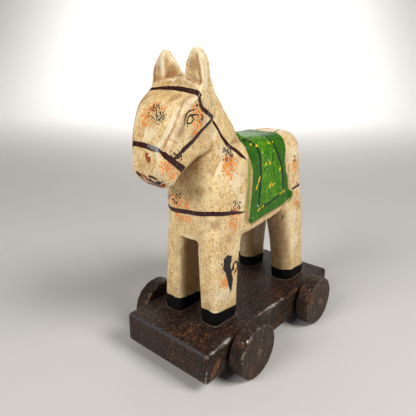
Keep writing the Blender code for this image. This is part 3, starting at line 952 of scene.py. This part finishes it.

# %% [markdown]
# ## The horse's paint
#
# The real paint is built up in layers: a cream ground brushed down the wood, tan where it is thin, brown
# glaze in the hollows, ivory where it caught the ridges, then dapples, strokes and a satin varnish. The
# material does the same in the same order, and it also paints light: brown shade under the horse and between
# its legs, and pale highlights on the ridge of the face, the noseband, the ears and the mouth. Each layer is
# a mask between 0 and 1 and a colour, mixed over what is there.

# %% Cream ground
CREAM = (0.86, 0.66, 0.34)
TAN = (0.74, 0.5, 0.21)
wood = Finish("painted wood")
broad = wood.clouds(14)
patches = wood.clouds(4.5, detail=5, roughness=0.62, seed=3, distortion=0.4)
brushed = wood.clouds(1.4, where=wood.stretched(1.0, 1.0, 0.3), seed=5, distortion=0.3)
grit = wood.clouds(0.95, detail=3, roughness=0.62, seed=6)
dry = (brushed - 0.5) * 0.65 + (grit - 0.5) * 1.15
wood.colour = wood.mix(broad.rise(0.38, 0.62), CREAM, TAN)
thin = ((patches - 0.5) * 1.6 + dry * 1.1 + 0.5).rise(0.54, 0.86)
wood.lay(thin * 0.65, (0.45, 0.25, 0.1))
wood.lay(dry.rise(0.02, 0.18) * 0.7, (0.92, 0.8, 0.54))
wood.lay(dry.rise(-0.02, -0.17) * 0.68, (0.38, 0.2, 0.075))
streaks = wood.clouds(0.65, where=wood.stretched(1.0, 0.8, 0.35), seed=12, distortion=0.8)
wood.lay((streaks + (patches - 0.5) * 0.5).rise(0.56, 0.7) * 0.28, (0.42, 0.24, 0.1))
wood.lay((streaks - (patches - 0.5) * 0.5).rise(0.44, 0.32) * 0.35, (0.95, 0.81, 0.52))

# %% Glaze in the hollows, ivory on the ridges, painted shade and highlights
fine_hollow = wood.note("fine_hollow")
broad_hollow = wood.note("broad_hollow")
glaze = (broad_hollow.rise(0.1, 1.3) * 0.7 + fine_hollow.rise(0.02, 0.12) * 0.4).held()
glaze = (glaze * (patches * 0.9 + dry + 0.5)).held()
wood.lay(glaze, (0.235, 0.1, 0.04))
# Painted shade: brown where the horse hides much of the sky from the wood, under the jaw and the belly and
# between the legs.
painted_shade = (wood.note("shelter") + (patches - 0.5) * 0.2 + dry * 0.15).rise(0.18, 0.62)
wood.lay(painted_shade * 0.68, (0.24, 0.11, 0.035))
stains = (wood.note("stain").rise(0.0, 0.9) + dry * 1.2 + (patches - 0.5) * 2.4).rise(0.2, 0.95)
wood.lay(stains * 0.62, (0.38, 0.2, 0.08))
# Painted shade on the front faces of the rear legs, which the body and the front legs keep out of the light.
rear_leg_shade = (wood.note("hidden_face") + dry * 0.6 + (patches - 0.5) * 0.5).held()
wood.lay(rear_leg_shade * 0.8, (0.2, 0.095, 0.032))
pale = (wood.note("pale").rise(0.0, 0.9) + dry * 1.6 + (patches - 0.5) * 1.6).rise(0.25, 0.9)
wood.lay(pale * 0.5, (0.94, 0.83, 0.6))
# Ivory on the ridges: partly paint worn thin there, partly a painted highlight where the ridges catch the
# light.
ivory = (broad_hollow.rise(-0.45, -1.6) * 0.6 + fine_hollow.rise(-0.03, -0.12) * 0.4).held()
wood.lay(ivory * (dry + 0.55).held(), (0.92, 0.81, 0.6))
# Painted highlights, laid in pale ivory from the highlight strokes.
painted_highlight = (wood.note("highlight_strokes") + dry * 2.4).rise(0.6, -0.7)
wood.lay(painted_highlight * 0.85, (0.93, 0.85, 0.7))
line = wood.note("crease_line") + dry * 0.9
wood.lay(line.rise(0.5, -0.15) * 0.75, (0.33, 0.13, 0.04))

# %% Specks and dapples
fine_share = (wood.clouds(6, detail=3, seed=8) - 0.2).held()
specks = (fine_share * 0.75 - wood.cells(0.75)).rise(0.0, 0.08)
wood.lay(specks * 0.7, (0.22, 0.1, 0.035))
dashes = wood.stretched(1.0, 1.0, 0.62)
orange_dots = wood.cells(0.8, where=dashes)
orange_strength = wood.note("orange_dapples")
wood.lay(orange_strength.rise(0.1, 0.9) * 0.3, (0.7, 0.34, 0.1))
orange = (orange_strength.rise(0.0, 0.5) * 0.5 - orange_dots + (grit - 0.5) * 0.3).rise(0.0, 0.05)
wood.lay(orange * 0.95, (0.84, 0.21, 0.014))
black_dots = wood.cells(0.78, where=dashes.maths("ADD", (0.013, 0.007, 0.002)))
black_strength = wood.note("black_dapples").rise(0.0, 0.5)
black_dapples = (black_strength * 0.5 - black_dots + (grit - 0.5) * 0.3).rise(0.0, 0.05)
wood.lay(black_dapples * 0.95, (0.02, 0.015, 0.012))


# %% Paint of the blanket
def brush_edge(name, raggedness=0.35, softness=0.08):
    """1 under the paint of that note and 0 outside, with an uneven edge."""
    return (wood.note(name) + (grit - 0.5) * raggedness).rise(softness, -softness)


green_paint = wood.mix(patches.rise(0.4, 0.65), (0.045, 0.2, 0.004), (0.085, 0.28, 0.006))
green_paint = wood.mix(dry.rise(0.03, 0.2) * 0.7, green_paint, (0.22, 0.42, 0.03))
green_paint = wood.mix(dry.rise(-0.01, -0.16) * 0.8, green_paint, (0.014, 0.08, 0.004))
green_paint = wood.mix(wood.note("inner_cloth").rise(0.0, 0.8) * 0.65, green_paint, (0.014, 0.095, 0.01))
thin_green = (wood.note("stray_green") + (dry - 0.1) * 1.6).rise(0.15, -0.25)
wood.lay(thin_green * 0.8, (0.2, 0.36, 0.02))
wood.lay(brush_edge("blanket", 0.3), green_paint)
cut_edge = abs(wood.note("blanket") + (grit - 0.5) * 0.4).rise(0.55, 0.35)
wood.lay(cut_edge * 0.6, (0.6, 0.42, 0.2))
wood.lay(brush_edge("border") * brush_edge("blanket"), (0.014, 0.018, 0.016))
wood.lay(brush_edge("yellow", 0.4), (0.85, 0.55, 0.02))

# %% Paint of the straps, eyes and hooves
strap_paint = wood.mix((dry * 2.0 + 0.45).held(), (0.008, 0.003, 0.004), (0.07, 0.012, 0.01))
# Painted reflection: under the painted highlights the strap turns blue-grey, as where the noseband shines.
strap_paint = wood.mix(painted_highlight * 0.55, strap_paint, (0.5, 0.5, 0.52))
flecks = (0.22 - wood.cells(0.8)).rise(0.0, 0.08) * patches.rise(0.48, 0.54)
wood.lay(brush_edge("strap", 0.45) * (1 - flecks * 0.55), strap_paint)
wood.lay((wood.note("red") - 0.3 + dry).rise(0.2, -0.2) * 0.8, (0.3, 0.14, 0.05))
wood.lay(brush_edge("red", 0.5), (0.32, 0.055, 0.012))
wood.lay(brush_edge("black", 0.3), (0.008, 0.006, 0.006))
wood.lay(brush_edge("hoof", 0.5), (0.006, 0.006, 0.006))
wood.lay(brush_edge("white", 0.3), (0.88, 0.83, 0.74))
wood.set("Base Color", wood.colour)

# %% Varnish and brush marks
wood.set("Roughness", patches * 0.25 + 0.3)
matt = (brush_edge("hoof", 0.5) * 0.9 + brush_edge("blanket", 0.3) * 0.75).held()
wood.set("Specular IOR Level", 0.12)
wood.set("Coat Weight", (1 - matt) * (patches * 0.5 + 0.1))
wood.set("Coat Roughness", 0.22)
pores = wood.cells(0.45).rise(0.0, 0.35)
wood.bump(brushed * 0.5 + grit * 0.35 + pores * 0.15, depth=0.3)
horse = new_piece("painted_horse", carved, wood.material, "stand")
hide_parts("horse")
print("horse material:", len(wood.tree.nodes), "nodes")

# %% [markdown]
# ## The plank
#
# A sawn board, stained nearly black and then handled: the stain has gone from the corners and edges and is
# thin in patches, where reddish wood shows. The packed solid is a plain block, so a finer copy of it is made
# on an even grid like the horse's. One pass of settling softens its corners, and low ridges along the board
# show the grain. The rubbed edges, the bare spots, the worn front corner and the nail hole are strokes too,
# and so is a painted highlight along the front top edge. Light specks on the pebbled stain are painted
# glints.

# %% Plank mesh
BOARD_GRID = 0.8
board = even_grid(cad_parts["plank"].data, BOARD_GRID)
board_points = read_points(board)
board_edges = read_edges(board)
worn = settled(board_points, board_edges, passes=1)
board_normals = read_normals(board)
sanded_away = 0.05
grain_lines = 0.04 * unevenness(board_points, size=np.array((1.6, 20, 1.6)))
dents = unevenness(board_points, size=5)
knocks = 0.3 * np.maximum(dents - 0.4, 0)
worn -= board_normals * (sanded_away + grain_lines + 0.06 * dents + knocks)[:, None]
write_points(board, worn)
board_surface = surface_of(worn, board)
edge_rubs = [
    [(25.9, -51.5, 21, 0.3), (25.8, -48.1, 21, 0.7), (25.5, -42.1, 21.2, 0.8)],
    [(25.5, -42.1, 21.2, 0.8), (25.3, -38, 21.2, 1.2), (24.9, -34, 21.2, 0.8), (24.6, -29, 21.2, 0.2)],
    [(24, -19, 21.2, 0.3), (24.4, -8.1, 21.2, 0.9), (24.6, 0, 21.2, 1.2)],
    [(24.6, 0, 21.2, 1.2), (24.8, 10, 21.2, 0.7), (25, 16, 21.2, 0.2)],
    [(26, -52.9, 15, 0.1), (25.8, -53, 12, 0.5), (25.6, -53.1, 9.4, 0.7), (25.4, -53.2, 6.6, 0.6)],
    [(22.6, -53.2, 10.4, 0.1), (24, -53.2, 9.4, 0.4), (25.2, -53.2, 8.8, 0.4)],
    [(16.4, -53.2, 6.6, 0.1), (18.4, -53.2, 7.6, 0.3), (20, -53.2, 9.2, 0.1)],
    [(18.8, -53.2, 6.4, 0.1), (22.4, -53.2, 6.8, 0.2), (25, -53.2, 6.6, 0.3)],
    [(1.2, -53.2, 13.2, 0.15), (1.5, -53.2, 12.2, 0.5), (1.8, -53.2, 11.2, 0.15)],
    [(-24.5, -53.1, 19.9, 0.1), (-9.6, -53.1, 19.8, 0.15), (3.9, -53.1, 19.7, 0.25)],
    [(3.9, -53.1, 19.7, 0.25), (16.4, -53.1, 19.8, 0.3), (25.6, -53, 19.9, 0.4)],
    [(-26, 30, 21.2, 0.3), (-26, 36, 21, 0.9), (-26, 44, 21.2, 0.2)],
    [(-26, 59.4, 18, 0.5), (-26, 59.4, 10, 0.8)],
]
# Painted highlight: a blue-grey band where the front top edge shines.
chamfer = [
    [(-24.8, -52.5, 20.6, 0.8), (-10, -52.5, 20.6, 0.9), (3.3, -52.5, 20.6, 1), (25.2, -52.5, 20.6, 0.9)],
]
bare_spots = [
    [(15.6, -40.4, 21.2, 0.7), (14.9, -41.2, 21.2, 0.6)],
    [(2.3, -39.5, 21.2, 0.5), (5.9, -39.1, 21.2, 0.4)],
    [(26.4, -44.4, 15.6, 1), (26.4, -46.2, 13.2, 1.8), (26.4, -48.2, 10.8, 1.6), (26.4, -50, 8.6, 0.8)],
    [(26.4, -11.2, 15.5, 0.8)],
]
nail_hole = [[(-6.4, -53.2, 18.6, 0.5)]]
board_strokes = {"rub": edge_rubs, "chamfer": chamfer, "bare": bare_spots, "nail": nail_hole}
for name, found in board_strokes.items():
    write_note(board, name, Strokes(found, board_surface).outside(worn))
SOLE_HEIGHT = 0.8
FAR_FROM_HOOF = 9.0
soles = tree_of(points[points[:, 2] < HORSE_BOX[0].z + SOLE_HEIGHT])
hoof_gap = np.array([min(FAR_FROM_HOOF, soles.find(point)[2]) for point in worn])
write_note(board, "hoof_gap", hoof_gap)
write_note(board, "edge_wear", -hollow_depth(worn, board_edges, board_normals, passes=12))
print("plank from", worn.min(0).round(1), "to", worn.max(0).round(1))

# %% Stained finish
stain = Finish("stained wood")
pebble = stain.clouds(0.9, roughness=0.65)
grain = stain.clouds(1.6, detail=5, where=stain.stretched(1.0, 0.12, 1.0), roughness=0.6, seed=1)
blotch = stain.clouds(15, roughness=0.55, seed=7)
scuff = stain.clouds(2.6, detail=5, roughness=0.65, seed=9)
stain.colour = stain.mix(blotch.rise(0.4, 0.6), (0.016, 0.008, 0.005), (0.034, 0.022, 0.016))
reddish = ((grain - 0.5) * 1.2 + (pebble - 0.5) * 1.6 + (0.5 - blotch) * 0.8).rise(0.05, 0.45)
stain.lay(reddish * 0.85, (0.17, 0.056, 0.02))
stain.lay(pebble.rise(0.49, 0.36) * 0.85, (0.004, 0.003, 0.002))
# Painted glints: the tops of the pebbling are lighter.
stain.lay(pebble.rise(0.55, 0.66) * 0.6, (0.16, 0.105, 0.075))
bared = (stain.note("bare") + (scuff - 0.5) * 2.4).rise(0.3, -0.7)
stain.lay(bared * pebble.rise(0.4, 0.6) * 0.9, (0.34, 0.12, 0.03))
# Painted highlight along the front top edge.
painted_edge_highlight = (stain.note("chamfer") + (scuff - 0.5) * 0.8).rise(0.25, -0.25)
stain.lay(painted_edge_highlight * (pebble * 2.2 - 0.4).held(), (0.055, 0.055, 0.064))
worn_edge = (stain.note("edge_wear") + (scuff - 0.5) * 1.8 + blotch - 0.5).rise(0.55, 1.05)
stain.lay(worn_edge * 0.45, (0.26, 0.2, 0.16))
dust = abs(stain.note("hoof_gap") - 0.75 + (scuff - 0.5) * 1.6).rise(0.45, 0.1)
stain.lay(dust * 0.25, (0.3, 0.25, 0.2))
rubbed = (stain.note("rub") + 0.4 + (scuff - 0.5) * 2.6 + (pebble - 0.5) * 2.6).rise(0.25, -0.45)
stain.lay(rubbed * 0.8, (0.42, 0.38, 0.34))
stain.lay(stain.note("nail").rise(0.1, -0.1), (0.002, 0.002, 0.002))
stain.set("Base Color", stain.colour)
stain.set("Roughness", scuff * 0.35 + 0.3)
stain.set("Specular IOR Level", 0.22)
stain.bump(pebble * 0.7 + grain * 0.3 + scuff * 0.3, depth=0.8)
plank = new_piece("worn_plank", board, stain.material, "stand")
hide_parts("plank")

# %% [markdown]
# ## Wheels and pins
#
# Each wheel is a slice sawn from a thick rod and left rough, with a pin through its bore. A cylinder would
# look machined. A lathe gives the round form with rings close enough together to carry dents, and every
# wheel gets its own unevenness from where it sits.


# %% Lathe
SIDES = 96


def turned(name, profile, middle):
    """A body turned about X: profile is a closed run of (x, radius), and middle is (y, z)."""
    form = bmesh.new()
    rings = []
    for along, radius in profile:
        count = SIDES if radius else 1
        turns = [math.tau * i / SIDES for i in range(count)]
        ring = [(middle[0] + radius * math.cos(turn), middle[1] + radius * math.sin(turn)) for turn in turns]
        rings.append([form.verts.new((along, y, z)) for y, z in ring])
    for one, two in zip(rings, rings[1:] + rings[:1]):
        if len(one) == len(two) == 1:
            continue
        for i in range(SIDES):
            j = (i + 1) % SIDES
            corners = [one[i % len(one)], one[j % len(one)], two[j % len(two)], two[i % len(two)]]
            form.faces.new(list(dict.fromkeys(corners)))
    bmesh.ops.recalc_face_normals(form, faces=form.faces)
    bmesh.ops.scale(form, vec=(MM, MM, MM), verts=form.verts)
    mesh = as_mesh(form, name)
    mesh.shade_smooth()
    return mesh


def bevelled(start, end, inner, radius, along, inwards):
    """The corners of a disc or rod from start to end along X, whose rims are bevelled."""
    return [
        (start, inner),
        (start, radius - inwards),
        (start + along, radius),
        (end - along, radius),
        (end, radius - inwards),
        (end, inner),
    ]


def run_of(corners, spacing):
    """Places along a closed run of corners, about this many millimetres apart."""
    places = []
    for (x0, r0), (x1, r1) in zip(corners, corners[1:] + corners[:1]):
        count = max(1, round(math.hypot(x1 - x0, r1 - r0) / spacing))
        places += [(x0 + (x1 - x0) * i / count, r0 + (r1 - r0) * i / count) for i in range(count)]
    return places


# %% Wheel finish
sawn = Finish("sawn wheel")
end_grain = sawn.clouds(1.1, detail=5, roughness=0.7)
streak = sawn.clouds(1.5, where=sawn.stretched(1.0, 1.0, 0.25), seed=3)
cloudy = sawn.clouds(7, seed=2)
smear = sawn.clouds(2.2, detail=5, seed=6, roughness=0.6)
sawn.colour = sawn.mix(sawn.note("face"), (0.022, 0.012, 0.008), (0.042, 0.024, 0.015))
sawn.lay(streak.rise(0.5, 0.66) * 0.4, (0.13, 0.08, 0.045))
sawn.lay(cloudy.rise(0.52, 0.7) * end_grain * 0.9, (0.2, 0.07, 0.028))
sawn.lay(end_grain.rise(0.49, 0.36) * 0.85, (0.008, 0.005, 0.003))
glints = (end_grain - 0.5 + (smear - 0.5) * 0.6).rise(0.12, 0.22)
sawn.lay(glints * 0.75, (0.38, 0.27, 0.18))
rim_rub = (sawn.note("rim") * 0.7 + (smear - 0.5) * 1.6 + (end_grain - 0.5) * 1.2).rise(0.35, 0.75)
sawn.lay(rim_rub * 0.6, (0.32, 0.26, 0.2))
sawn.lay(sawn.note("chip").rise(0.2, -0.2), (0.75, 0.68, 0.6))
sawn.lay(sawn.note("slot").rise(0.25, -0.25), (0.003, 0.002, 0.002))
sawn.set("Base Color", sawn.colour)
sawn.set("Roughness", smear * 0.4 + 0.3)
sawn.set("Specular IOR Level", 0.2)
sawn.bump(end_grain * 0.8 + streak * 0.3, depth=0.9)

# %% Pin finish
bare = Finish("bare pin")
bare.set("Roughness", 0.6)
pin_grain = bare.clouds(0.7, detail=5, where=bare.stretched(0.2, 1.0, 1.0))
bare.set("Base Color", bare.mix(pin_grain.rise(0.4, 0.65), (0.03, 0.018, 0.012), (0.16, 0.1, 0.055)))
bare.bump(pin_grain, depth=0.15)


# %% Rough discs
def measured(node):
    """Both ends along X, the middle in y and z, and the radius of a round solid, in millimetres."""
    low, high = (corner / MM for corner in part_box(node))
    return low.x, high.x, ((low.y + high.y) / 2, (low.z + high.z) / 2), (high.z - low.z) / 2


def roughen(disc, end, middle, radius, bore, dent_depth=0.12, chip_depth=0.9, rim_width=1.6):
    """Dents the whole disc and chips its rim, and notes where its face and its outer rim are."""
    points, normals = read_points(disc), read_normals(disc)
    from_axis = np.hypot(points[:, 1] - middle[0], points[:, 2] - middle[1])
    dents = dent_depth * (unevenness(points, size=3.5) + 0.6)
    near_rim = np.clip((from_axis - radius + rim_width) / rim_width, 0, 1)
    chips = chip_depth * near_rim * np.maximum(unevenness(points, size=1.8, shift=(9, 4, 2)) - 0.35, 0)
    off_bore = from_axis > bore + 0.3
    points -= normals * ((dents + chips) * off_bore)[:, None]
    write_points(disc, points)
    from_outer_rim = np.hypot(from_axis - radius + 0.3, end - points[:, 0] - 0.3)
    write_note(disc, "face", np.clip(abs(normals[:, 0]) * 2 - 0.8, 0, 1))
    write_note(disc, "rim", np.clip(1 - from_outer_rim / 1.2, 0, 1))
    return points


# %% Wheels and pins on their places
PIN_PLAY = 0.15
NOWHERE = [[(0, 0, 500, 0.1)]]
SLOTS = {
    "front_left": [[(35.7, -33.4, 20.6, 0.2), (35.7, -33.4, 19.4, 0.55), (35.7, -33.5, 18, 0.25)]],
    "rear_right": [[(-35.7, 36, 7, 0.2), (-35.7, 37, 6, 0.3)]],
}
CHIPS = {"front_left": [[(34.6, -35.4, 23.9, 0.5), (34.6, -35.8, 23.3, 0.4)]]}
for corner in ("front_left", "front_right", "rear_left", "rear_right"):
    start, end, middle, radius = measured(f"wheel_{corner}")
    pin_start, pin_end, _, pin_radius = measured(f"pin_{corner}")
    bore = pin_radius + PIN_PLAY
    rim = bevelled(start, end, bore, radius, along=0.5, inwards=0.7)
    disc = turned(f"{corner}_wheel", run_of(rim, spacing=0.7), middle)
    disc_points = roughen(disc, end, middle, radius, bore)
    disc_surface = surface_of(disc_points, disc)
    for name, found in (("slot", SLOTS), ("chip", CHIPS)):
        write_note(disc, name, Strokes(found.get(corner, NOWHERE), disc_surface).outside(disc_points))
    wheel = new_piece(f"sawn_wheel_{corner}", disc, sawn.material, f"{corner}_wheel")
    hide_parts(f"wheel_{corner}")
    tips = bevelled(pin_start, pin_end, 0, pin_radius, along=0.3, inwards=0.3)
    rod = turned(f"{corner}_pin", run_of(tips, spacing=0.8), middle)
    pin = new_piece(f"round_pin_{corner}", rod, bare.material, "stand")
    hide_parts(f"pin_{corner}")

# %% [markdown]
# ## The end
